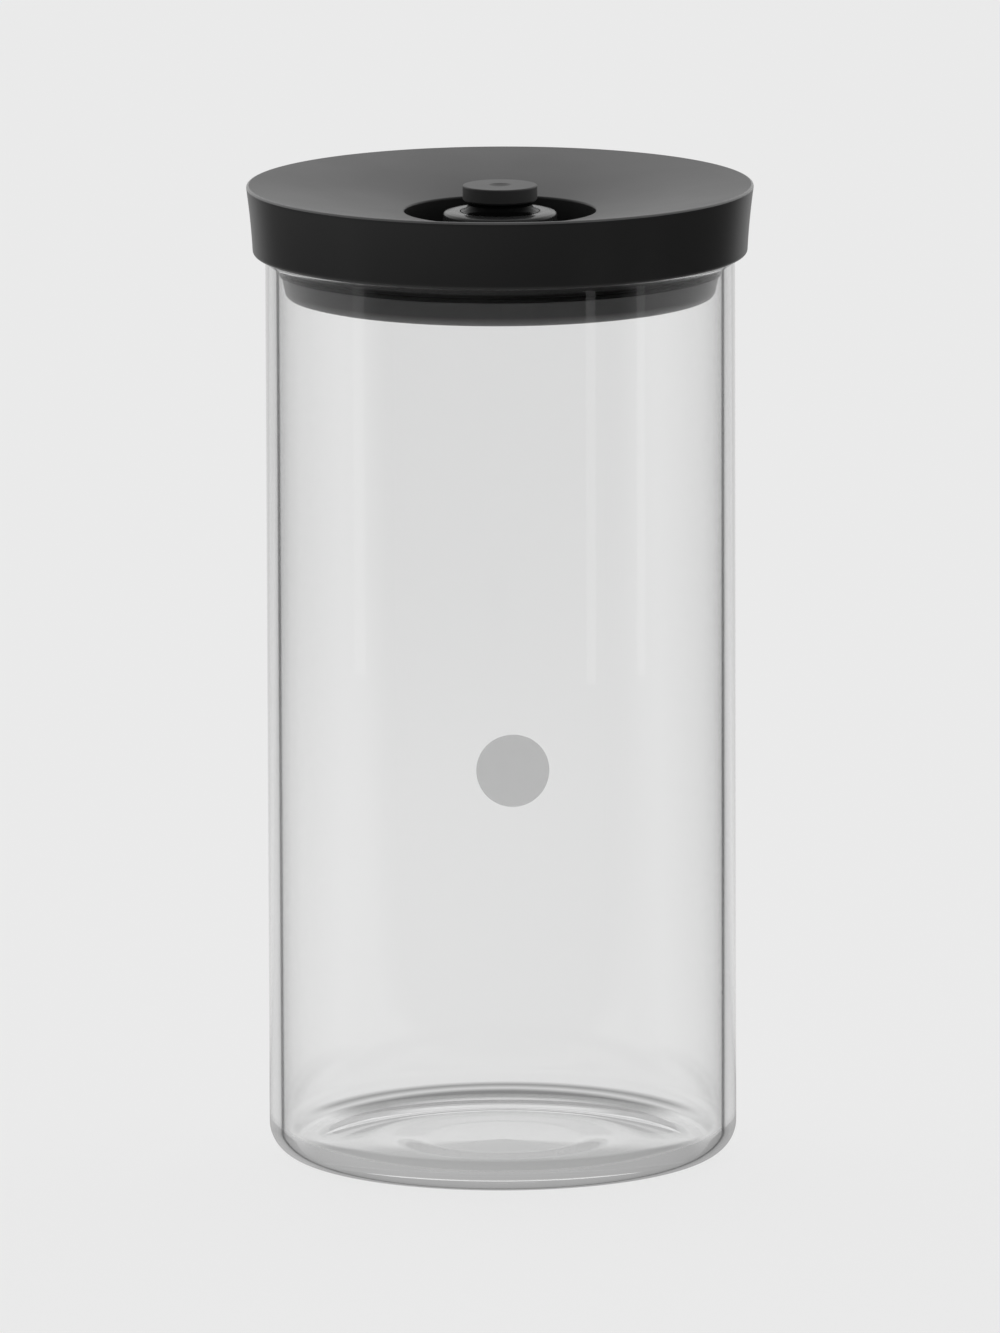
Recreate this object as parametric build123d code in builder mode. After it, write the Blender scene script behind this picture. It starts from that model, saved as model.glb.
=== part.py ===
from build123d import *
import math
import os

# A round glass canister with a lid that is pressed down to seal. A gasket on the lid's plug
# slides in the glass, the air leaves through a valve in the lid's middle, and pulling the
# valve's knob lets the air back in. Millimetres, +Z up, origin on the axis where the jar stands.

os.makedirs("parts", exist_ok=True)

# Glass jar
jar_radius = 49.1
jar_wall = 2.5
jar_height = 190.8
floor_thickness = 3.2
heel_radius = 6.5
inner_heel_radius = 4.5
rim_round = 1.1
foot_ring_width = 2.5
hollow_radius = 16.0
hollow_height = 0.4
swell_radius = 24.0
swell_width = 3.0
swell_height = 0.8

# Lid cover: skirt, dished top and finger well
lid_gap = 0.3
skirt_height = 14.4
skirt_overhang = 2.55
skirt_flare = 1.4
flare_hollow = 0.17
skirt_wall = 2.0
skirt_foot_round = 0.8
rim_edge_round = 0.5
rim_flat = 0.1
dish_depth = 5.5
dish_wall = 2.0
well_radius = 20.0
well_depth = 10.0
well_wall = 2.0
well_floor_wall = 1.8
well_edge_round = 0.5
well_corner_round = 1.0
well_hole_gap = 0.2

# Lid base: flange, plug and valve boss
flange_wall = 2.0
flange_gap = 0.15
plug_depth = 8.6
plug_gap = 0.6
plug_taper = 1.0
plug_foot_round = 1.5
plug_wall = 1.8
plug_floor_wall = 2.2
groove_height = 3.5
groove_depth = 2.4
boss_wall = 2.1

# Ribs and snap hooks inside the lid
rib_wall = 1.2
rib_count = 8
rib_gap = 0.3
rib_sink = 0.6
cover_rib_depth = 2.6
hook_count = 6
hook_width = 6.0
hook_wall = 1.2
hook_height = 3.1
barb_reach = 1.0
barb_height = 2.2
barb_lead = 0.5
catch_ring_setback = 2.6
catch_ring_wall = 1.2
catch_gap = 0.2

# Sealing ring
seal_reach_gap = 0.15
seal_fit_gap = 0.05
seal_strap_wall = 1.4
seal_valley = 0.35
seal_band_height = 2.2

# Valve collar: visible ring, seat, guide and O-ring groove
collar_mouth_radius = 8.4
collar_lap = 0.5
collar_height = 3.7
collar_crown = 0.5
crown_mouth_share = 0.25
crown_middle_share = 0.1
collar_edge_round = 0.7
collar_wall = 0.6
collar_tube_depth = 7.3
collar_fit_gap = 0.1
collar_tube_wall = 1.6
seat_depth = 1.0
seat_bore_radius = 6.6
guide_wall = 2.0
guide_depth = 7.5
guide_hub_wall = 1.6
guide_hub_rise = 1.1
guide_vent_radius = 1.1
guide_vent_count = 8
stem_clearance = 0.05
o_groove_depth = 1.0
o_groove_width = 1.6
o_groove_drop = 0.7
o_ring_squeeze = 0.05

# Vent grille
grille_lap = 0.8
grille_wall = 1.4
grille_recess = 0.4
grille_gap = 0.1
grille_hole_radius = 0.8
grille_ring_spacing = 3.2

# Knob
knob_radius = 7.8
knob_height = 3.25
knob_drop = 0.15
knob_top_round = 0.3
knob_foot_bevel = 0.35
dimple_radius = 2.4
dimple_depth = 0.5
knob_boss_wall = 1.48
knob_boss_length = 4.5
knob_bead_reach = 0.6
knob_bead_height = 0.5

# Silicone umbrella
skirt_fit_gap = 0.05
neck_height = 0.8
lip_clearance = 0.2
lip_flare = 1.5
lip_thickness = 0.6
lip_gap = 0.3
lip_width = 0.6
hub_clearance = 1.0
flare_sag = 0.3

# Stem, clip, cup and spring
stem_radius = 2.0
stem_socket_depth = 6.0
stem_socket_gap = 0.02
stem_end_bevel = 0.3
stem_foot_gap = 0.4
stem_shoulder_reach = 0.8
stem_shoulder_height = 0.5
clip_thickness = 0.4
clip_reach = 1.2
clip_play = 0.05
clip_band = 1.2
clip_tab_width = 1.2
clip_groove_depth = 0.5
clip_edge = 0.6
cup_spring_gap = 0.4
cup_wall = 0.4
cup_rim_height = 0.7
cup_gap = 0.1
spring_wire = 0.4
spring_stem_gap = 0.8
spring_turns = 4
spring_seat_gap = 0.05

# How far a cut runs past the wall that it opens
overrun = 1.0

# Levels and radii that follow from the sizes above
jar_bore = jar_radius - jar_wall
foot_ring_radius = jar_radius - heel_radius - foot_ring_width
lid_foot = jar_height + lid_gap
lid_top = lid_foot + skirt_height
well_top = lid_top - dish_depth
well_floor = well_top - well_depth
well_floor_under = well_floor - well_floor_wall
skirt_foot_radius = jar_radius + skirt_overhang
lid_radius = skirt_foot_radius + skirt_flare
land_radius = lid_radius - rim_edge_round - rim_flat
dish_slope = dish_depth / (land_radius - well_radius)
collar_top = well_top
collar_foot = collar_top - collar_height
collar_tube_radius = collar_mouth_radius + collar_wall
boss_bore = collar_tube_radius + collar_fit_gap
boss_radius = boss_bore + boss_wall
hole_radius = boss_radius + well_hole_gap
collar_radius = hole_radius + collar_lap
flange_radius = skirt_foot_radius - skirt_wall - flange_gap
catch_ring_radius = flange_radius - catch_ring_setback
flange_top = lid_foot + flange_wall
plug_top_radius = jar_bore - plug_gap
plug_foot_radius = plug_top_radius - plug_taper
plug_foot = lid_foot - plug_depth
plug_floor = plug_foot + plug_floor_wall
groove_foot = lid_foot - groove_height
groove_radius = plug_top_radius - groove_depth
tube_foot = collar_foot - collar_tube_depth
tube_bore = collar_tube_radius - collar_tube_wall
seat_level = collar_top - seat_depth
guide_foot = seat_level - guide_depth
guide_top = guide_foot + guide_wall
hub_radius = stem_radius + stem_clearance + guide_hub_wall
grille_radius = boss_bore + grille_lap
grille_foot = plug_foot + grille_recess
grille_top = grille_foot + grille_wall
knob_top = lid_top - knob_drop
knob_foot = knob_top - knob_height
knob_boss_radius = stem_radius + stem_socket_gap + knob_boss_wall
boss_foot = knob_foot - knob_boss_length
lip_radius = collar_mouth_radius - lip_clearance
neck_radius = lip_radius - lip_flare
umbrella_hub_radius = seat_bore_radius - hub_clearance
stem_foot = grille_top + stem_foot_gap
stem_top = boss_foot + stem_socket_depth
clip_radius = stem_radius + clip_reach
clip_foot = stem_foot + clip_edge
clip_top = clip_foot + clip_thickness
spring_radius = stem_radius + spring_stem_gap + spring_wire / 2
cup_radius = spring_radius + spring_wire / 2 + cup_spring_gap + cup_wall
cup_foot = clip_top + clip_play
cup_floor = cup_foot + cup_wall


def dish_level(radius):
    return lid_top - (land_radius - radius) * dish_slope


def ease(start, end):
    third = (end[0] - start[0]) / 3
    return Bezier(start, (start[0] + third, start[1]), (end[0] - third, end[1]), end)


def corner(sketch, point):
    return sketch.vertices().sort_by_distance(point)[0]


# Glass jar. Its underside is hollow: it rises from the foot ring to a round swell and then
# falls a little to a flat middle, as a mould leaves it
with BuildPart() as glass_jar:
    with BuildSketch(Plane.XZ) as jar_section:
        with BuildLine():
            swell_edge = swell_radius + swell_width
            Polyline(
                (hollow_radius, hollow_height),
                (0, hollow_height),
                (0, floor_thickness),
                (jar_bore, floor_thickness),
                (jar_bore, jar_height),
                (jar_radius, jar_height),
                (jar_radius, 0),
                (foot_ring_radius, 0),
            )
            ease((foot_ring_radius, 0), (swell_edge, swell_height))
            Line((swell_edge, swell_height), (swell_radius, swell_height))
            ease((swell_radius, swell_height), (hollow_radius, hollow_height))
        make_face()
        fillet(corner(jar_section, (jar_bore, floor_thickness)), inner_heel_radius)
        fillet(corner(jar_section, (jar_radius, 0)), heel_radius)
        fillet(corner(jar_section, (jar_bore, jar_height)), rim_round)
        fillet(corner(jar_section, (jar_radius, jar_height)), rim_round)
    revolve(axis=Axis.Z)
glass_jar.part.label = "glass_jar"

# One radial rib under the dished top
with BuildPart() as cover_rib:
    with BuildSketch(Plane.XZ):
        with BuildLine():
            inner_end = well_radius + well_wall - rib_sink
            outer_end = catch_ring_radius + rib_sink
            Polyline(
                (inner_end, dish_level(inner_end) - dish_wall - cover_rib_depth),
                (outer_end, dish_level(outer_end) - dish_wall - cover_rib_depth),
                (outer_end, dish_level(outer_end) - dish_wall + rib_sink),
                (inner_end, dish_level(inner_end) - dish_wall + rib_sink),
                close=True,
            )
        make_face()
    extrude(amount=rib_wall / 2, both=True)

# Lid cover
barb_foot = flange_top + hook_height
with BuildPart() as lid_cover:
    with BuildSketch(Plane.XZ) as cover_section:
        with BuildLine():
            skirt_inner_foot = skirt_foot_radius - skirt_wall
            skirt_inner_top = lid_radius - skirt_wall
            flare_middle = (skirt_foot_radius + lid_radius) / 2 - flare_hollow
            ThreePointArc(
                (skirt_foot_radius, lid_foot),
                (flare_middle, (lid_foot + lid_top) / 2),
                (lid_radius, lid_top),
            )
            Polyline(
                (lid_radius, lid_top),
                (land_radius, lid_top),
                (well_radius, well_top),
                (well_radius, well_floor),
                (hole_radius, well_floor),
                (hole_radius, well_floor_under),
                (well_radius + well_wall, well_floor_under),
                (well_radius + well_wall, dish_level(well_radius + well_wall) - dish_wall),
                (skirt_inner_top, dish_level(skirt_inner_top) - dish_wall),
                (skirt_inner_foot, lid_foot),
                (skirt_foot_radius, lid_foot),
            )
        make_face()
        fillet(corner(cover_section, (lid_radius, lid_top)), rim_edge_round)
        fillet(corner(cover_section, (skirt_foot_radius, lid_foot)), skirt_foot_round)
        fillet(corner(cover_section, (well_radius, well_top)), well_edge_round)
        fillet(corner(cover_section, (well_radius, well_floor)), well_corner_round)
    revolve(axis=Axis.Z)
    with PolarLocations(0, rib_count):
        add(cover_rib.part)
    with BuildSketch(Plane.XY.offset(flange_top + rib_gap)) as catch_ring:
        Circle(catch_ring_radius + catch_ring_wall)
        Circle(catch_ring_radius, mode=Mode.SUBTRACT)
    extrude(amount=dish_level(catch_ring_radius) - dish_wall + rib_sink - flange_top - rib_gap)
    with BuildSketch(Plane.XY.offset(barb_foot - catch_gap)):
        with PolarLocations(catch_ring_radius, hook_count, start_angle=180 / rib_count):
            Rectangle(2 * (catch_ring_wall + overrun), hook_width + 2 * catch_gap)
    extrude(amount=barb_height + 2 * catch_gap, mode=Mode.SUBTRACT)
lid_cover.part.label = "lid_cover"

# One snap hook of the lid base
with BuildPart() as snap_hook:
    with BuildSketch(Plane.XZ):
        with BuildLine():
            hook_inner = catch_ring_radius - catch_gap - hook_wall
            hook_outer = catch_ring_radius - catch_gap
            Polyline(
                (hook_inner, flange_top - rib_sink),
                (hook_outer, flange_top - rib_sink),
                (hook_outer, barb_foot),
                (hook_outer + barb_reach, barb_foot),
                (hook_outer + barb_reach, barb_foot + barb_lead),
                (hook_outer - barb_lead, barb_foot + barb_height),
                (hook_inner, barb_foot + barb_height),
                close=True,
            )
        make_face()
    extrude(amount=hook_width / 2, both=True)

# One radial rib on the plug's floor
with BuildPart() as base_rib:
    with BuildSketch(Plane.XZ):
        with BuildLine():
            rib_start = boss_radius - rib_sink
            rib_end = groove_radius - plug_wall + rib_sink
            Polyline(
                (rib_start, plug_floor - rib_sink),
                (rib_end, plug_floor - rib_sink),
                (rib_end, well_floor_under - rib_gap),
                (rib_start, well_floor_under - rib_gap),
                close=True,
            )
        make_face()
    extrude(amount=rib_wall / 2, both=True)

# Lid base
with BuildPart() as lid_base:
    with BuildSketch(Plane.XZ) as base_section:
        with BuildLine():
            grille_bore = grille_radius + grille_gap
            Polyline(
                (grille_bore, plug_foot),
                (plug_foot_radius, plug_foot),
                (plug_top_radius, groove_foot),
                (groove_radius, groove_foot),
                (groove_radius, lid_foot),
                (flange_radius, lid_foot),
                (flange_radius, flange_top),
                (groove_radius - plug_wall, flange_top),
                (groove_radius - plug_wall, plug_floor),
                (boss_radius, plug_floor),
                (boss_radius, collar_foot),
                (boss_bore, collar_foot),
                (boss_bore, tube_foot),
                (tube_bore, tube_foot),
                (tube_bore, grille_top + grille_gap),
                (grille_bore, grille_top + grille_gap),
                close=True,
            )
        make_face()
        fillet(corner(base_section, (plug_foot_radius, plug_foot)), plug_foot_round)
    revolve(axis=Axis.Z)
    with PolarLocations(0, rib_count):
        add(base_rib.part)
    with PolarLocations(0, hook_count, start_angle=180 / rib_count):
        add(snap_hook.part)
lid_base.part.label = "lid_base"

# Sealing ring: a strap in the groove and two soft crests that meet the glass
with BuildPart() as sealing_ring:
    with BuildSketch(Plane.XZ):
        with BuildLine():
            seal_inner = groove_radius + seal_fit_gap
            seal_strap = seal_inner + seal_strap_wall
            seal_reach = jar_bore - seal_reach_gap
            seal_edge = seal_reach - seal_valley
            seal_foot = groove_foot + seal_fit_gap
            seal_top = lid_foot - seal_fit_gap
            crest_height = seal_band_height / 2
            Polyline(
                (seal_edge, seal_foot),
                (seal_inner, seal_foot),
                (seal_inner, seal_top),
                (seal_strap, seal_top),
                (seal_strap, seal_foot + seal_band_height),
                (seal_edge, seal_foot + seal_band_height),
            )
            ThreePointArc(
                (seal_edge, seal_foot),
                (seal_reach, seal_foot + crest_height / 2),
                (seal_edge, seal_foot + crest_height),
            )
            ThreePointArc(
                (seal_edge, seal_foot + crest_height),
                (seal_reach, seal_foot + crest_height + crest_height / 2),
                (seal_edge, seal_foot + seal_band_height),
            )
        make_face()
    revolve(axis=Axis.Z)
sealing_ring.part.label = "sealing_ring"

# Valve collar
with BuildPart() as valve_collar:
    with BuildSketch(Plane.XZ) as collar_section:
        with BuildLine():
            crown_middle = (collar_mouth_radius + collar_radius) / 2
            collar_mouth_top = collar_top - collar_crown * crown_mouth_share
            groove_top = collar_foot - o_groove_drop
            o_groove_foot = groove_top - o_groove_width
            o_groove_radius = collar_tube_radius - o_groove_depth
            guide_bore = stem_radius + stem_clearance
            ThreePointArc(
                (collar_mouth_radius, collar_mouth_top),
                (crown_middle, collar_top - collar_crown * crown_middle_share),
                (collar_radius, collar_top - collar_crown),
            )
            Polyline(
                (collar_radius, collar_top - collar_crown),
                (collar_radius, collar_foot),
                (collar_tube_radius, collar_foot),
                (collar_tube_radius, groove_top),
                (o_groove_radius, groove_top),
                (o_groove_radius, o_groove_foot),
                (collar_tube_radius, o_groove_foot),
                (collar_tube_radius, tube_foot),
                (tube_bore, tube_foot),
                (tube_bore, guide_foot),
                (guide_bore, guide_foot),
                (guide_bore, guide_top + guide_hub_rise),
                (hub_radius, guide_top + guide_hub_rise),
                (hub_radius, guide_top),
                (seat_bore_radius, guide_top),
                (seat_bore_radius, seat_level),
                (collar_mouth_radius, seat_level),
                (collar_mouth_radius, collar_mouth_top),
            )
        make_face()
        fillet(corner(collar_section, (collar_radius, collar_top - collar_crown)), collar_edge_round)
    revolve(axis=Axis.Z)
    with BuildSketch(Plane.XY.offset(guide_foot)):
        with PolarLocations((hub_radius + seat_bore_radius) / 2, guide_vent_count):
            Circle(guide_vent_radius)
    extrude(amount=guide_wall, mode=Mode.SUBTRACT)
valve_collar.part.label = "valve_collar"

# O-ring, squeezed to an oval between the groove and the boss
with BuildPart() as collar_o_ring:
    with BuildSketch(Plane.XZ):
        o_inner = o_groove_radius + o_ring_squeeze
        o_outer = boss_bore - o_ring_squeeze
        with Locations(((o_inner + o_outer) / 2, (groove_top + o_groove_foot) / 2)):
            Ellipse((o_outer - o_inner) / 2, o_groove_width / 2 - o_ring_squeeze)
    revolve(axis=Axis.Z)
collar_o_ring.part.label = "collar_o_ring"

# Vent grille
with BuildPart() as vent_grille:
    with BuildSketch(Plane.XY.offset(grille_foot)):
        Circle(grille_radius)
        Circle(grille_hole_radius, mode=Mode.SUBTRACT)
        for ring in (1, 2):
            with PolarLocations(ring * grille_ring_spacing, 6 * ring):
                Circle(grille_hole_radius, mode=Mode.SUBTRACT)
    extrude(amount=grille_wall)
vent_grille.part.label = "vent_grille"

# Knob
with BuildPart() as valve_knob:
    with BuildSketch(Plane.XZ) as knob_section:
        with BuildLine():
            bore_radius = stem_radius + stem_socket_gap
            bead_radius = knob_boss_radius + knob_bead_reach
            Polyline(
                (0, knob_top - dimple_depth),
                (0, stem_top + stem_socket_gap),
                (bore_radius, stem_top + stem_socket_gap),
                (bore_radius, boss_foot),
                (bead_radius, boss_foot),
                (bead_radius, boss_foot + knob_bead_height),
                (knob_boss_radius, boss_foot + knob_bead_height),
                (knob_boss_radius, knob_foot),
                (knob_radius, knob_foot),
                (knob_radius, knob_top),
                (dimple_radius, knob_top),
            )
            TangentArc((0, knob_top - dimple_depth), (dimple_radius, knob_top), tangent=(1, 0))
        make_face()
        fillet(corner(knob_section, (knob_radius, knob_top)), knob_top_round)
        chamfer(corner(knob_section, (knob_radius, knob_foot)), knob_foot_bevel)
    revolve(axis=Axis.Z)
valve_knob.part.label = "valve_knob"

# Silicone umbrella on the knob's boss
with BuildPart() as valve_skirt:
    with BuildSketch(Plane.XZ):
        with BuildLine():
            hub_bore = knob_boss_radius + skirt_fit_gap
            hub_foot = boss_foot + knob_bead_height + skirt_fit_gap
            neck_top = knob_foot - skirt_fit_gap
            neck_foot = neck_top - neck_height
            lip_foot = seat_level + lip_gap
            lip_top = lip_foot + lip_thickness
            under_level = lip_top + lip_thickness
            Polyline(
                (lip_radius - lip_width, lip_foot),
                (lip_radius, lip_foot + lip_gap),
                (lip_radius, lip_top),
            )
            ThreePointArc(
                (lip_radius, lip_top),
                ((lip_radius + neck_radius) / 2 - flare_sag, (lip_top + neck_foot) / 2 - flare_sag / 2),
                (neck_radius, neck_foot),
            )
            Polyline(
                (neck_radius, neck_foot),
                (neck_radius, neck_top),
                (hub_bore, neck_top),
                (hub_bore, hub_foot),
                (umbrella_hub_radius, hub_foot),
                (umbrella_hub_radius, under_level),
                (lip_radius - lip_width, lip_foot),
            )
        make_face()
    revolve(axis=Axis.Z)
valve_skirt.part.label = "valve_skirt"

# Stem
with BuildPart() as valve_stem:
    with BuildSketch(Plane.XZ) as stem_section:
        with BuildLine():
            groove_bottom = stem_radius - clip_groove_depth
            shoulder_radius = stem_radius + stem_shoulder_reach
            Polyline(
                (0, stem_foot),
                (stem_radius, stem_foot),
                (stem_radius, clip_foot - clip_play),
                (groove_bottom, clip_foot - clip_play),
                (groove_bottom, clip_top + clip_play),
                (stem_radius, clip_top + clip_play),
                (stem_radius, boss_foot - stem_shoulder_height),
                (shoulder_radius, boss_foot - stem_shoulder_height),
                (shoulder_radius, boss_foot),
                (stem_radius, boss_foot),
                (stem_radius, stem_top),
                (0, stem_top),
                close=True,
            )
        make_face()
        chamfer(corner(stem_section, (stem_radius, stem_foot)), stem_end_bevel)
        chamfer(corner(stem_section, (stem_radius, stem_top)), stem_end_bevel)
    revolve(axis=Axis.Z)
valve_stem.part.label = "valve_stem"

# E-clip: a spring-steel ring, open at one side, with three tabs in the stem's groove
with BuildPart() as retaining_clip:
    with BuildSketch(Plane.XY.offset(clip_foot)):
        Circle(clip_radius)
        Circle(clip_radius - clip_band, mode=Mode.SUBTRACT)
        with PolarLocations(clip_radius - clip_band, 3, start_angle=90, angular_range=180, endpoint=True):
            Rectangle(clip_band, clip_tab_width)
        with Locations((clip_radius, 0)):
            Rectangle(clip_radius + clip_band, 2 * stem_radius - clip_groove_depth, mode=Mode.SUBTRACT)
        Circle(groove_bottom + clip_play, mode=Mode.SUBTRACT)
    extrude(amount=clip_thickness)
retaining_clip.part.label = "retaining_clip"

# Spring cup
with BuildPart() as spring_cup:
    with BuildSketch(Plane.XZ):
        with BuildLine():
            cup_bore = stem_radius + cup_gap
            Polyline(
                (cup_bore, cup_foot),
                (cup_radius, cup_foot),
                (cup_radius, cup_foot + cup_wall + cup_rim_height),
                (cup_radius - cup_wall, cup_foot + cup_wall + cup_rim_height),
                (cup_radius - cup_wall, cup_floor),
                (cup_bore, cup_floor),
                close=True,
            )
        make_face()
    revolve(axis=Axis.Z)
spring_cup.part.label = "spring_cup"

# Compression spring between the cup and the guide
coil_foot = cup_floor + spring_seat_gap + spring_wire / 2
coil_top = guide_foot - spring_seat_gap - spring_wire / 2
spring_pitch = (coil_top - coil_foot) / spring_turns
with BuildPart() as valve_spring:
    with BuildLine() as coil:
        Helix(spring_pitch, coil_top - coil_foot, spring_radius, center=(0, 0, coil_foot))
    with BuildSketch(Plane(origin=coil.line @ 0, z_dir=coil.line % 0)):
        Circle(spring_wire / 2)
    sweep(path=coil.line, is_frenet=True)
valve_spring.part.label = "valve_spring"

pieces = (
    glass_jar, lid_cover, lid_base, sealing_ring, valve_collar, collar_o_ring, vent_grille,
    valve_knob, valve_skirt, valve_stem, retaining_clip, spring_cup, valve_spring,
)
for piece in pieces:
    export_step(piece.part, f"parts/{piece.part.label}.step")

inner_area = math.pi * jar_bore**2
print("capacity under the plug, ml:", round(inner_area * (plug_foot - floor_thickness) / 1000))
print("gap between the spring's turns:", round(spring_pitch - spring_wire, 3))
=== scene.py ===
import math

import bmesh
import bpy
from mathutils import Matrix, Vector


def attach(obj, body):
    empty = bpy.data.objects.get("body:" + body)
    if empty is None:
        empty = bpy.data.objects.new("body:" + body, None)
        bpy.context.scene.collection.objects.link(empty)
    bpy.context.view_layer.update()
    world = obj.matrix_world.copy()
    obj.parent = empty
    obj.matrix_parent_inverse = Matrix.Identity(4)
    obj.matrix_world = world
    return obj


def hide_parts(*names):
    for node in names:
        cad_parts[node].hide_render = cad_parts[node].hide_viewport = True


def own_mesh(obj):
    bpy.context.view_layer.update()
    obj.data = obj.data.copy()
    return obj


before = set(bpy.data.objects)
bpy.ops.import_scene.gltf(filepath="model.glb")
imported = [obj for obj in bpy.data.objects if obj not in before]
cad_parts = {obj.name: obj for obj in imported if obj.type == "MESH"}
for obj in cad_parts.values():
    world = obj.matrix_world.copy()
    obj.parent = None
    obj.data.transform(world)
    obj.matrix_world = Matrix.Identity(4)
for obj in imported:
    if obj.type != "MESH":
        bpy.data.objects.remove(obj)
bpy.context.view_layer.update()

# Sizes are in millimetres as far as the studio, and are scaled where they are used
MM = 0.001

# Glass jar
JAR_RADIUS = 49.1
JAR_WALL = 2.5
JAR_HEIGHT = 190.8
FLOOR_THICKNESS = 3.2
HEEL_RADIUS = 6.5
INNER_HEEL_RADIUS = 4.5
RIM_ROUND = 1.1
FOOT_RING_RADIUS = 40.1
HOLLOW_RADIUS = 16.0
HOLLOW_HEIGHT = 0.4
SWELL_RADIUS = 24.0
SWELL_EDGE = 27.0
SWELL_HEIGHT = 0.8
JAR_BORE = JAR_RADIUS - JAR_WALL

# Plain printed disc on the front of the jar
DISC_CENTRE = (2.3, -49.05, 90.0)
DISC_RADIUS = 7.6
DISC_TINT = 0.42
DISC_FROST = 0.12

# Lid cover
LID_FOOT = 191.1
LID_TOP = 205.5
SKIRT_FOOT_RADIUS = 51.65
LID_RADIUS = 53.05
FLARE_HOLLOW = 0.17
SKIRT_STEPS = 12
SKIRT_WALL = 2.0
SKIRT_FOOT_ROUND = 0.8
RIM_EDGE_ROUND = 0.5
RIM_LAND = 0.6
DISH_DEPTH = 5.5
DISH_WALL = 2.0
WELL_RADIUS = 20.0
WELL_DEPTH = 10.0
WELL_WALL = 2.0
WELL_FLOOR_WALL = 1.8
WELL_EDGE_ROUND = 0.5
WELL_CORNER_ROUND = 1.0
BOSS_RADIUS = 11.2
BOSS_GAP = 0.2

# Painted highlight: a stretch of the lid's plug painted paler towards its foot
PLUG_HIGHLIGHT_FOOT = 182.3
PLUG_HIGHLIGHT_TOP = 184.4
PLUG_HIGHLIGHT_GREY = 0.32

# Valve spring, between the cup on the stem and the guide in the collar
SPRING_RADIUS = 3.0
SPRING_WIRE = 0.4
SPRING_TURNS = 4
SPRING_SEAT_GAP = 0.05
CUP_FLOOR = 186.15
GUIDE_FOOT = 191.5

# How near two places on an outline count as the same
TOUCH = 0.001

# Borosilicate glass
GLASS_TINT = (0.952, 0.954, 0.953, 1)
GLASS_INDEX = 1.47

# What the outside of the glass lets through, by how far it turns away: (0 facing to 1 edge on, share).
# Painted shade: the tint darkens as the surface turns away, down to a narrow dip, which is the painted dark
# line where the bore is seen edge on, and clears again beyond it.
GLASS_PAINTED_EDGE_SHADE = (
    (0.28, 1.0), (0.36, 0.96), (0.44, 0.91), (0.50, 0.86), (0.57, 0.74), (0.62, 0.58), (0.655, 0.42),
    (0.668, 0.05), (0.692, 0.05), (0.704, 0.45), (0.74, 0.72), (0.80, 0.92), (0.86, 1.0),
)

# Painted glow that the glass gives off, standing in for light that the jar's floor carries from edge to
# edge;
# rays find it after this many bounces
GUIDED_PAINTED_GLOW = 0.2
GUIDED_BOUNCES = 3.5

# Moulded and turned surfaces: clouds, grain and specks of dust, where a scale is a number a metre
CLOUD_SCALE = 45.0
MOULD_GRAIN_SCALE = 5000.0
STEEL_GRAIN_SCALE = 2500.0
GRAIN_STRENGTH = 0.35
SPECK_SCALE = 160.0
SPECK_SIZE = 0.014
SPECK_SHARE = 0.12
SPECK_SHADE = 0.3

# Camera, fitted to the photograph
CAMERA_DISTANCE = 4000.0
CAMERA_ELEVATION = 10.13
CAMERA_ROLL = 0.19
CAMERA_AIM = (-0.314, 0.0, 103.2)
CAMERA_FOCAL_PIXELS = 19080.0
CAMERA_REACH = 50000.0
FRAME_HEIGHT_PIXELS = 1333.0
SENSOR_SIDE = 36.0

# Studio, in metres, where a strength of 1 is white
PALE = 0.83
FLOOR_RADIUS = 9.0
FLOOR_SIDES = 128

# The floor gives part of its brightness as a matte surface, which keeps the object's shadow
FLOOR_MATTE = 0.14
MATTE_SHARE = 0.067

# Shade on the floor behind the jar's foot, which only glass shows: (radius, brightness) in an oval
FOOT_SHADE = (
    (0.0380, 1.0), (0.0400, 0.35), (0.0420, 0.22), (0.0530, 0.20), (0.0543, 0.8),
    (0.0552, 0.95), (0.0566, 0.95), (0.0574, 0.35), (0.0588, 0.35), (0.0598, 1.0),
)
FOOT_SHADE_SQUEEZE = 1.22

# Down to the strips each range is taken to another one: ((from, to), (becomes, becomes)).
# Those named BEHIND go by how far behind the jar a place or direction lies: -1 in front, 1 behind.
BEHIND_FOOT_SHADE = ((0.45, 0.75), (0.0, 1.0))

# Glow of the floor in reflections: by distance, from left to right, and behind the jar
NEAR_GLOW = ((0.25, 0.9), (0.45, 0.04))
LEFT_GLOW = ((-0.4, 0.4), (1.5, 0.4))
BEHIND_GLOW = ((0.6, 0.95), (0.0, 0.8))

# Glow of the world, and its brightness through glass by height: pale low down, dim, then brighter
BEHIND_WORLD = ((-0.2, 0.65), (0.2, 0.85))
LOW_WORLD = ((0.18, 0.27), (PALE, 0.3))
HIGH_WORLD = ((0.40, 0.60), (0.0, 0.4))

# Share of that brightness that glass shows. It is small to the front, which keeps what the jar mirrors
# dark, and makes the jar look grey from behind.
BEHIND_ONWARD_FLOOR = ((-0.5, -0.1), (0.0, 1.0))
BEHIND_ONWARD_WORLD = ((-0.1, 0.6), (0.3, 1.0))

# Soft lights that stand on the floor: (name, degrees to the right of the front, width, radiance)
STRIPS = (
    ("strip_left", -71, 0.07, 0.45),
    ("strip_right", 43, 0.05, 0.7),
    ("strip_far_right", 70, 0.05, 0.6),
)
STRIP_DISTANCE = 0.6
STRIP_HEIGHT = 0.9
STRIP_FLOOR_GAP = 0.01


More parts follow.
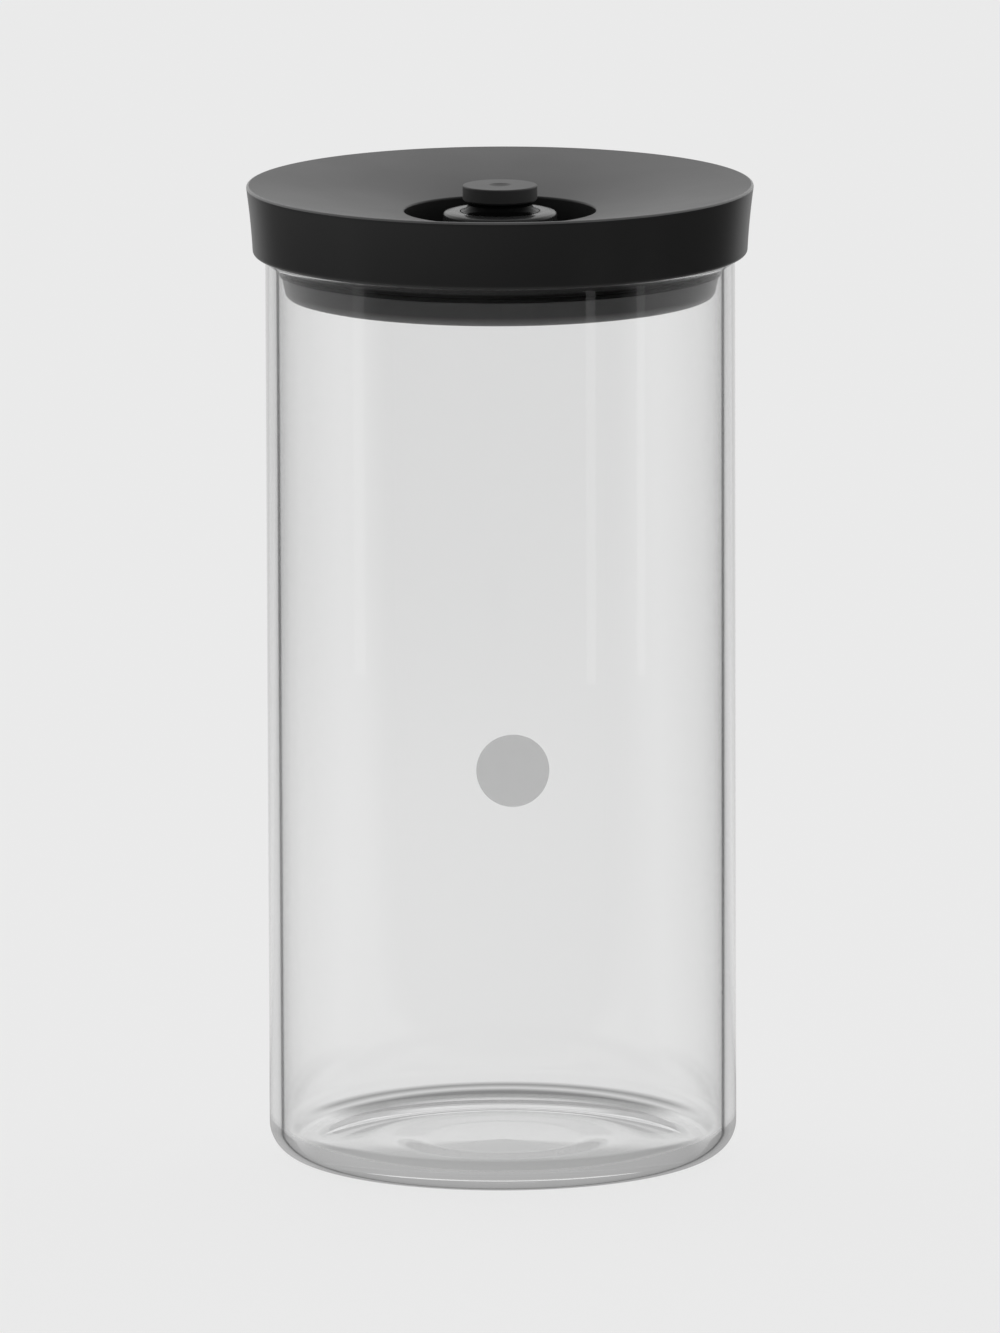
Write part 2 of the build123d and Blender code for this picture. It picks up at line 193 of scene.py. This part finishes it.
# Outlines and meshes
def rounded(corners, steps=8):
    """Outline of (radius, height, rounding) corners, each rounding drawn as a tangent arc."""
    points = []
    count = len(corners)
    for i, (radius, height, rounding) in enumerate(corners):
        here = Vector((radius, height))
        if not rounding:
            points.append(here)
            continue
        to_last = (Vector(corners[i - 1][:2]) - here).normalized()
        to_next = (Vector(corners[(i + 1) % count][:2]) - here).normalized()
        half = to_last.angle(to_next) / 2
        reach = rounding / math.tan(half)
        centre = here + (to_last + to_next).normalized() * (rounding / math.sin(half))
        first = here + to_last * reach - centre
        last = here + to_next * reach - centre
        turn = first.angle(last)
        for k in range(steps + 1):
            t = k / steps
            arm = (first * math.sin((1 - t) * turn) + last * math.sin(t * turn)) / math.sin(turn)
            points.append(centre + arm)
    return points


def eased(start, end, steps=16):
    """Points from start to end, level at both, without the last one."""
    points = []
    for k in range(steps):
        t = k / steps
        radius = start[0] + (end[0] - start[0]) * t
        height = start[1] + (end[1] - start[1]) * t * t * (3 - 2 * t)
        points.append(Vector((radius, height)))
    return points


def new_object(name, data):
    thing = bpy.data.objects.new(name, data)
    bpy.context.scene.collection.objects.link(thing)
    return thing


def new_piece(name, bm, sharp_angle):
    """Object from a closed bmesh, smooth except at edges that turn by more than sharp_angle degrees."""
    mesh = bpy.data.meshes.new(name)
    bmesh.ops.recalc_face_normals(bm, faces=bm.faces)
    bm.to_mesh(mesh)
    bm.free()
    mesh.shade_smooth()
    mesh.set_sharp_from_angle(angle=math.radians(sharp_angle))
    return new_object(name, mesh)


def lathe(name, outline, slots, segments, sharp_angle=40):
    """Turns a closed outline of (radius, height) points round the Z axis.

    slots gives a material number for each stretch of the outline, from its point to the next.
    """
    bm = bmesh.new()
    rings = []
    for radius, height in outline:
        if radius < TOUCH:
            rings.append([bm.verts.new((0, 0, height * MM))])
            continue
        ring = []
        for k in range(segments):
            angle = 2 * math.pi * k / segments
            place = (radius * MM * math.cos(angle), radius * MM * math.sin(angle), height * MM)
            ring.append(bm.verts.new(place))
        rings.append(ring)
    for i, ring in enumerate(rings):
        follow = rings[(i + 1) % len(rings)]
        if len(ring) == 1 and len(follow) == 1:
            continue
        for k in range(segments):
            n = (k + 1) % segments
            if len(ring) == 1:
                face = bm.faces.new((ring[0], follow[n], follow[k]))
            elif len(follow) == 1:
                face = bm.faces.new((ring[k], ring[n], follow[0]))
            else:
                face = bm.faces.new((ring[k], ring[n], follow[n], follow[k]))
            face.material_index = slots[i]
    return new_piece(name, bm, sharp_angle)


# Nodes
def grey(value):
    return (value, value, value, 1)


class Tree:
    """A node tree, with short ways to add to it. A value is a plain one or another node's output."""

    def __init__(self, node_tree):
        self.nodes = node_tree.nodes
        self.links = node_tree.links

    def feed(self, socket, value):
        if isinstance(value, bpy.types.NodeSocket):
            self.links.new(value, socket)
        else:
            socket.default_value = value

    def add(self, kind, values):
        """A node with values for its inputs, by their names or numbers."""
        node = self.nodes.new(kind)
        for name, value in values.items():
            self.feed(node.inputs[name], value)
        return node

    def compute(self, operation, first, second, clamp=False):
        node = self.add("ShaderNodeMath", {0: first, 1: second})
        node.operation = operation
        node.use_clamp = clamp
        return node.outputs["Value"]

    def compute_vector(self, operation, first, second):
        node = self.add("ShaderNodeVectorMath", {0: first, 1: second})
        node.operation = operation
        return node.outputs["Vector"]

    def length(self, vector):
        node = self.add("ShaderNodeVectorMath", {0: vector})
        node.operation = "LENGTH"
        return node.outputs["Value"]

    def ranged(self, value, source, target, smooth=False):
        """A value taken from the source range to the target range."""
        limits = {"From Min": source[0], "From Max": source[1], "To Min": target[0], "To Max": target[1]}
        node = self.add("ShaderNodeMapRange", {"Value": value, **limits})
        if smooth:
            node.interpolation_type = "SMOOTHSTEP"
        return node.outputs["Result"]

    def mixed(self, factor, first, second, kind="RGBA"):
        node = self.nodes.new("ShaderNodeMix")
        node.data_type = kind
        for name, value in (("Factor", factor), ("A", first), ("B", second)):
            self.feed(node.inputs[name], value)
        return node.outputs["Result"]

    def ramp(self, value, stops):
        """Greys from stops of (position, brightness)."""
        node = self.add("ShaderNodeValToRGB", {"Fac": value})
        elements = node.color_ramp.elements
        elements[0].position, elements[1].position = stops[0][0], stops[-1][0]
        for position, _ in stops[1:-1]:
            elements.new(position)
        for element, (_, brightness) in zip(elements, stops):
            element.color = grey(brightness)
        return node.outputs["Color"]

    def noise(self, place, scale, detail):
        node = self.add("ShaderNodeTexNoise", {"Vector": place, "Scale": scale, "Detail": detail})
        return node.outputs["Fac"]

    def group(self, node_group, values):
        """The outputs of a node group, with values for its inputs by their names."""
        node = self.nodes.new("ShaderNodeGroup")
        node.node_tree = node_group
        for name, value in values.items():
            self.feed(node.inputs[name], value)
        return node.outputs

    def place(self, space="Object"):
        return self.nodes.new("ShaderNodeTexCoord").outputs[space]

    def axes(self, vector):
        return self.add("ShaderNodeSeparateXYZ", {"Vector": vector}).outputs

    def rays(self):
        return self.nodes.new("ShaderNodeLightPath").outputs


# Shared effects
def new_group(name, inputs, outputs):
    """A node group with its tree, the sockets that its inputs come from and those of its outputs."""
    group = bpy.data.node_groups.new(name, "ShaderNodeTree")
    for direction, labels in (("INPUT", inputs), ("OUTPUT", outputs)):
        for label in labels:
            group.interface.new_socket(name=label, in_out=direction, socket_type="NodeSocketFloat")
    tree = Tree(group)
    source = tree.nodes.new("NodeGroupInput").outputs
    sink = tree.nodes.new("NodeGroupOutput").inputs
    return group, tree, source, sink


def moulded_grain():
    """Fine spark-eroded texture of a moulded surface, with slow drifts of gloss."""
    inputs = ("Grain Scale", "Gloss", "Drift")
    group, tree, source, sink = new_group("moulded_grain", inputs, ("Height", "Roughness", "Shade"))
    place = tree.place()
    cloud = tree.noise(place, CLOUD_SCALE, detail=4.0)
    change = tree.compute("MULTIPLY", tree.ranged(cloud, (0.0, 1.0), (-1.0, 1.0)), source["Drift"])
    tree.feed(sink["Height"], tree.noise(place, source["Grain Scale"], detail=2.0))
    tree.feed(sink["Roughness"], tree.compute("ADD", change, source["Gloss"]))
    tree.feed(sink["Shade"], cloud)
    return group


def fine_dust():
    """Sparse pale specks, as on a clean object that has stood for a day."""
    group, tree, source, sink = new_group("fine_dust", ("Speck Scale", "Speck Size", "Share"), ("Mask",))
    spread = {"Vector": tree.place(), "Scale": source["Speck Scale"]}
    cells = tree.add("ShaderNodeTexVoronoi", spread).outputs
    pick = tree.add("ShaderNodeSeparateColor", {"Color": cells["Color"]}).outputs
    speck = tree.compute("LESS_THAN", cells["Distance"], source["Speck Size"])
    kept = tree.compute("LESS_THAN", pick["Red"], source["Share"])
    tree.feed(sink["Mask"], tree.compute("MULTIPLY", speck, kept))
    return group


def printed_disc():
    """Round patch on the front of the jar: 1 inside its edge."""
    group, tree, source, sink = new_group("printed_disc", ("Radius",), ("Mask",))
    from_centre = tree.compute_vector("SUBTRACT", tree.place(), tuple(value * MM for value in DISC_CENTRE))
    tree.feed(sink["Mask"], tree.compute("LESS_THAN", tree.length(from_centre), source["Radius"]))
    return group


GRAIN = moulded_grain()
DUST = fine_dust()
DISC = printed_disc()


# Materials
def new_material(name):
    """A material with its tree and the sockets of its shader."""
    material = bpy.data.materials.new(name)
    material.use_nodes = True
    return material, Tree(material.node_tree), material.node_tree.nodes["Principled BSDF"].inputs


def moulded(name, dark, light, gloss, drift=0.04, depth=0.02, shine=0.5, painted_pale_foot=None):
    """Moulded plastic or silicone: two close shades, fine grain, drifting gloss and a few specks.

    The pale foot is (foot, top, shade) of a stretch painted paler towards its foot, a painted highlight.
    """
    material, tree, shader = new_material(name)
    surface = tree.group(GRAIN, {"Grain Scale": MOULD_GRAIN_SCALE, "Gloss": gloss, "Drift": drift})
    specks = tree.group(DUST, {"Speck Scale": SPECK_SCALE, "Speck Size": SPECK_SIZE, "Share": SPECK_SHARE})
    colour = tree.mixed(surface["Shade"], grey(dark), grey(light))
    # Painted highlight: the colour turns paler towards the foot of the stretch
    if painted_pale_foot:
        foot, top, pale = painted_pale_foot
        height = tree.axes(tree.place())["Z"]
        colour = tree.mixed(tree.ranged(height, (foot * MM, top * MM), (1.0, 0.0)), colour, grey(pale))
    relief = {"Strength": GRAIN_STRENGTH, "Distance": depth * MM, "Height": surface["Height"]}
    tree.feed(shader["Base Color"], tree.mixed(specks["Mask"], colour, grey(SPECK_SHADE)))
    tree.feed(shader["Roughness"], surface["Roughness"])
    tree.feed(shader["Normal"], tree.add("ShaderNodeBump", relief).outputs["Normal"])
    tree.feed(shader["Specular IOR Level"], shine)
    return material


def clear_glass(name, outside):
    """Glass. Its outside has a painted dark line where the bore is seen edge on, and the printed disc; all
    of it has a painted glow after many bounces.
    """
    material, tree, shader = new_material(name)
    tree.feed(shader["Transmission Weight"], 1.0)
    tree.feed(shader["IOR"], GLASS_INDEX)
    tree.feed(shader["Roughness"], 0.0)
    tree.feed(shader["Base Color"], GLASS_TINT)
    # Painted glow: the glass gives off light on rays past this many bounces
    painted_glow_mask = tree.compute("GREATER_THAN", tree.rays()["Glossy Depth"], GUIDED_BOUNCES)
    tree.feed(shader["Emission Color"], painted_glow_mask)
    tree.feed(shader["Emission Strength"], GUIDED_PAINTED_GLOW)
    if outside:
        # Painted shade: the outside's tint darkens edge on, with a painted dark line where the bore is seen
        # edge on
        facing = tree.add("ShaderNodeLayerWeight", {"Blend": 0.5}).outputs["Facing"]
        disc = tree.group(DISC, {"Radius": DISC_RADIUS * MM})["Mask"]
        tree.feed(shader["Base Color"], tree.mixed(disc, tree.ramp(facing, GLASS_PAINTED_EDGE_SHADE), grey(DISC_TINT)))
        tree.feed(shader["Roughness"], tree.compute("MULTIPLY", disc, DISC_FROST))
    return material


def steel():
    """Plain stainless steel with a satin finish."""
    material, tree, shader = new_material("stainless_steel")
    surface = tree.group(GRAIN, {"Grain Scale": STEEL_GRAIN_SCALE, "Gloss": 0.28, "Drift": 0.08})
    tree.feed(shader["Metallic"], 1.0)
    tree.feed(shader["Base Color"], grey(0.62))
    tree.feed(shader["Roughness"], surface["Roughness"])
    return material


LID_PLASTIC = moulded("lid_plastic", dark=0.017, light=0.021, gloss=0.38)
KNOB_PLASTIC = moulded("knob_plastic", dark=0.078, light=0.086, gloss=0.46)
COLLAR_PLASTIC = moulded("collar_plastic", dark=0.05, light=0.056, gloss=0.22)
# Painted highlight on the plug, paler towards its foot
PLUG_PAINTED_HIGHLIGHT = (PLUG_HIGHLIGHT_FOOT, PLUG_HIGHLIGHT_TOP, PLUG_HIGHLIGHT_GREY)
# Painted light: the plug's grey is much paler than the lid's plastic, standing in for light that reaches it
# through the glass
PLUG_PLASTIC_PAINTED_LIGHTER = moulded("plug_plastic_painted_lighter", dark=0.085, light=0.100, gloss=0.36, shine=0.15, painted_pale_foot=PLUG_PAINTED_HIGHLIGHT)
SILICONE = moulded("silicone", dark=0.008, light=0.010, gloss=0.22, drift=0.03, depth=0.01, shine=0.06)
GASKET_SILICONE = moulded("gasket_silicone", dark=0.006, light=0.008, gloss=0.6, shine=0.1)
# Painted highlight: paler grey on the rim's rounding, standing in for the light line the edge catches
RIM_PAINTED_HIGHLIGHT = moulded("rim_painted_highlight", dark=0.20, light=0.22, gloss=0.25)
GLASS_OUTSIDE = clear_glass("clear_glass", outside=True)
GLASS_INSIDE = clear_glass("clear_glass_inside", outside=False)
STEEL = steel()


# Pieces
def make_jar():
    """The jar. Its inside and its underside have the second material, without the painted dark line."""
    outline = [Vector((0, HOLLOW_HEIGHT))]
    outline += eased((HOLLOW_RADIUS, HOLLOW_HEIGHT), (SWELL_RADIUS, SWELL_HEIGHT))
    outline.append(Vector((SWELL_RADIUS, SWELL_HEIGHT)))
    outline += eased((SWELL_EDGE, SWELL_HEIGHT), (FOOT_RING_RADIUS, 0), steps=32)
    corners = [
        (FOOT_RING_RADIUS, 0, 0),
        (JAR_RADIUS, 0, HEEL_RADIUS),
        (JAR_RADIUS, JAR_HEIGHT, RIM_ROUND),
        (JAR_BORE, JAR_HEIGHT, RIM_ROUND),
        (JAR_BORE, FLOOR_THICKNESS, INNER_HEEL_RADIUS),
        (0, FLOOR_THICKNESS, 0),
    ]
    outline += rounded(corners, steps=20)
    slots = []
    for point in outline:
        inside = point.x < JAR_BORE + TOUCH and point.y > FLOOR_THICKNESS - TOUCH
        under = point.x < JAR_RADIUS - HEEL_RADIUS + TOUCH and point.y < FLOOR_THICKNESS
        slots.append(int(inside or under))
    return lathe("jar_glass", outline, slots, segments=360, sharp_angle=60)


def make_cover():
    """Outer shell of the lid. The rounding of its rim has the second material, a paler grey that is a
    painted highlight.
    """
    # The skirt's side is a curve through a middle radius that lies inside the straight line
    mean = (SKIRT_FOOT_RADIUS + LID_RADIUS) / 2
    curve_corner = 2 * (mean - FLARE_HOLLOW) - mean
    land = LID_RADIUS - RIM_LAND
    slope = DISH_DEPTH / (land - WELL_RADIUS)
    well_top = LID_TOP - DISH_DEPTH
    well_floor = well_top - WELL_DEPTH
    well_under = well_floor - WELL_FLOOR_WALL
    hole = BOSS_RADIUS + BOSS_GAP
    well_outside = WELL_RADIUS + WELL_WALL
    skirt_inside = LID_RADIUS - SKIRT_WALL
    corners = [
        (SKIRT_FOOT_RADIUS - SKIRT_WALL, LID_FOOT, 0),
        (SKIRT_FOOT_RADIUS, LID_FOOT, SKIRT_FOOT_ROUND),
    ]
    for k in range(1, SKIRT_STEPS):
        t = k / SKIRT_STEPS
        radius = SKIRT_FOOT_RADIUS * (1 - t) ** 2 + 2 * curve_corner * t * (1 - t) + LID_RADIUS * t**2
        corners.append((radius, LID_FOOT + (LID_TOP - LID_FOOT) * t, 0))
    corners += [
        (LID_RADIUS, LID_TOP, RIM_EDGE_ROUND),
        (land, LID_TOP, 0),
        (WELL_RADIUS, well_top, WELL_EDGE_ROUND),
        (WELL_RADIUS, well_floor, WELL_CORNER_ROUND),
        (hole, well_floor, 0),
        (hole, well_under, 0),
        (well_outside, well_under, 0),
        (well_outside, LID_TOP - (land - well_outside) * slope - DISH_WALL, 0),
        (skirt_inside, LID_TOP - (land - skirt_inside) * slope - DISH_WALL, 0),
    ]
    outline = rounded(corners)
    slots = []
    for point in outline:
        slots.append(int(point.y > LID_TOP - RIM_EDGE_ROUND and point.x > LID_RADIUS - RIM_EDGE_ROUND))
    return lathe("cover_shell", outline, slots, segments=320)


def make_spring(turn_steps=40, wire_steps=12):
    """Coil of round wire with flat ends."""
    bm = bmesh.new()
    low = CUP_FLOOR + SPRING_SEAT_GAP + SPRING_WIRE / 2
    high = GUIDE_FOOT - SPRING_SEAT_GAP - SPRING_WIRE / 2
    steps = SPRING_TURNS * turn_steps
    rise = math.atan2(high - low, 2 * math.pi * SPRING_RADIUS * SPRING_TURNS)
    rings = []
    for i in range(steps + 1):
        angle = 2 * math.pi * i / turn_steps
        outward = Vector((math.cos(angle), math.sin(angle), 0))
        along = Vector((-math.sin(angle), math.cos(angle), 0))
        centre = outward * SPRING_RADIUS + Vector((0, 0, low + (high - low) * i / steps))
        up = Vector((0, 0, math.cos(rise))) - along * math.sin(rise)
        ring = []
        for k in range(wire_steps):
            turn = 2 * math.pi * k / wire_steps
            arm = (outward * math.cos(turn) + up * math.sin(turn)) * SPRING_WIRE / 2
            ring.append(bm.verts.new((centre + arm) * MM))
        rings.append(ring)
    for ring, follow in zip(rings, rings[1:]):
        for k in range(wire_steps):
            n = (k + 1) % wire_steps
            bm.faces.new((ring[k], ring[n], follow[n], follow[k]))
    bm.faces.new(rings[0])
    bm.faces.new(rings[-1])
    return new_piece("valve_coil", bm, sharp_angle=50)


def dress(piece, material, body, slot, *nodes):
    """Gives a piece its material and body, and hides the CAD nodes that it stands for. The slot is not
    used.
    """
    piece.data.materials.append(material)
    if nodes:
        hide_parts(*nodes)
    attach(piece, body)
    return piece


jar = dress(make_jar(), GLASS_OUTSIDE, "jar", "clear_glass", "glass_jar")
jar.data.materials.append(GLASS_INSIDE)
cover = dress(make_cover(), LID_PLASTIC, "lid", "lid_plastic", "lid_cover")
# Second material: the painted highlight on the rim's rounding
cover.data.materials.append(RIM_PAINTED_HIGHLIGHT)
spring = dress(make_spring(), STEEL, "valve", "steel", "valve_spring")
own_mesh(spring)

node_materials = {
    # The plug's material is painted lighter to stand in for light through the glass
    "lid_base": PLUG_PLASTIC_PAINTED_LIGHTER,
    "sealing_ring": GASKET_SILICONE,
    "valve_collar": COLLAR_PLASTIC,
    "collar_o_ring": SILICONE,
    "vent_grille": LID_PLASTIC,
    "valve_knob": KNOB_PLASTIC,
    "valve_skirt": SILICONE,
    "valve_stem": STEEL,
    "spring_cup": STEEL,
    "retaining_clip": STEEL,
}
for node, material in node_materials.items():
    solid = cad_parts[node]
    solid.data.materials.clear()
    solid.data.materials.append(material)


# Studio: a pale floor out of sight of any edge, and a world of soft light
def make_floor():
    """Pale to the camera and through glass, and a soft glow for the rays that light or reflect."""
    mesh = bpy.data.meshes.new("floor")
    bm = bmesh.new()
    bmesh.ops.create_circle(bm, cap_ends=True, radius=FLOOR_RADIUS, segments=FLOOR_SIDES)
    bm.to_mesh(mesh)
    bm.free()
    floor = new_object("floor", mesh)
    material = bpy.data.materials.new("pale_floor")
    material.use_nodes = True
    tree = Tree(material.node_tree)
    tree.nodes.clear()
    rays = tree.rays()
    place = tree.place()
    parts = tree.axes(place)
    distance = tree.length(place)
    behind = tree.compute("DIVIDE", parts["Y"], distance)

    # What the camera and glass see, with the foot's shade for glass alone
    oval = tree.compute_vector("MULTIPLY", place, (FOOT_SHADE_SQUEEZE, 1, 0))
    shade = tree.ramp(tree.length(oval), FOOT_SHADE)
    back = tree.ranged(behind, *BEHIND_FOOT_SHADE, smooth=True)
    shaded = tree.compute("MULTIPLY", back, rays["Is Transmission Ray"])
    light = {"Color": tree.mixed(shaded, grey(1), shade), "Strength": PALE - MATTE_SHARE}
    pale = tree.add("ShaderNodeEmission", light).outputs["Emission"]
    matte = tree.add("ShaderNodeBsdfDiffuse", {"Color": grey(FLOOR_MATTE)}).outputs["BSDF"]
    surface = tree.add("ShaderNodeAddShader", {0: pale, 1: matte}).outputs["Shader"]

    # What reflections and soft light see
    near = tree.ranged(distance, *NEAR_GLOW, smooth=True)
    front = tree.compute("MULTIPLY", near, tree.ranged(parts["X"], *LEFT_GLOW))
    strength = tree.compute("MAXIMUM", front, tree.ranged(behind, *BEHIND_GLOW, smooth=True))
    glow = tree.add("ShaderNodeEmission", {"Strength": strength}).outputs["Emission"]

    # Rays that leave glass towards the front see the glow, except those that light a matte piece
    onward = tree.ranged(behind, *BEHIND_ONWARD_FLOOR, smooth=True)
    shown = tree.compute("MAXIMUM", onward, rays["Diffuse Depth"], clamp=True)
    through = tree.compute("MULTIPLY", shown, rays["Is Transmission Ray"])
    direct = tree.compute("MAXIMUM", rays["Is Camera Ray"], through)
    choice = tree.add("ShaderNodeMixShader", {0: direct, 1: glow, 2: surface}).outputs["Shader"]
    tree.add("ShaderNodeOutputMaterial", {"Surface": choice})
    floor.data.materials.append(material)


def make_world():
    """Soft light, strongest from behind. It is pale to the camera and, low down, through glass."""
    world = bpy.data.worlds.new("studio")
    bpy.context.scene.world = world
    world.use_nodes = True
    tree = Tree(world.node_tree)
    background = tree.nodes["Background"].inputs
    rays = tree.rays()
    direction = tree.axes(tree.place("Generated"))
    low = tree.ranged(direction["Z"], *LOW_WORLD, smooth=True)
    pale = tree.compute("ADD", low, tree.ranged(direction["Z"], *HIGH_WORLD, smooth=True))
    onward = tree.ranged(direction["Y"], *BEHIND_ONWARD_WORLD, smooth=True)
    shown = tree.compute("MAXIMUM", onward, rays["Diffuse Depth"], clamp=True)
    through = tree.compute("MULTIPLY", pale, shown)
    glow = tree.ranged(direction["Y"], *BEHIND_WORLD, smooth=True)
    seen = tree.mixed(rays["Is Transmission Ray"], glow, through, kind="FLOAT")
    tree.feed(background["Color"], grey(1))
    tree.feed(background["Strength"], tree.mixed(rays["Is Camera Ray"], seen, PALE, kind="FLOAT"))


def make_camera():
    """The photograph's view, as an angle above level and a small roll."""
    data = bpy.data.cameras.new("camera")
    data.sensor_width = SENSOR_SIDE
    data.lens = SENSOR_SIDE * CAMERA_FOCAL_PIXELS / FRAME_HEIGHT_PIXELS
    data.clip_end = CAMERA_REACH * MM
    camera = new_object("camera", data)
    tilt = math.radians(CAMERA_ELEVATION)
    back = Vector((0, -math.cos(tilt), math.sin(tilt)))
    camera.location = (Vector(CAMERA_AIM) + back * CAMERA_DISTANCE) * MM
    camera.rotation_mode = "QUATERNION"
    roll = Matrix.Rotation(math.radians(-CAMERA_ROLL), 3, "Z").to_quaternion()
    camera.rotation_quaternion = (-back).to_track_quat("-Z", "Y") @ roll
    bpy.context.scene.camera = camera


def make_strip(name, azimuth, width, radiance):
    """A tall soft light on the floor, azimuth degrees to the right of the front, seen only in gloss."""
    data = bpy.data.lights.new(name, "AREA")
    data.shape = "RECTANGLE"
    data.size = width
    data.size_y = STRIP_HEIGHT
    data.energy = radiance * math.pi * width * STRIP_HEIGHT
    strip = new_object(name, data)
    turn = math.radians(azimuth)
    outward = Vector((math.sin(turn), -math.cos(turn), 0))
    strip.location = outward * STRIP_DISTANCE + Vector((0, 0, STRIP_HEIGHT / 2 + STRIP_FLOOR_GAP))
    strip.rotation_mode = "QUATERNION"
    strip.rotation_quaternion = outward.to_track_quat("Z", "Y")
    strip.visible_camera = False
    strip.visible_transmission = False


make_floor()
make_world()
for strip in STRIPS:
    make_strip(*strip)
make_camera()
bpy.context.scene.view_settings.view_transform = "Standard"
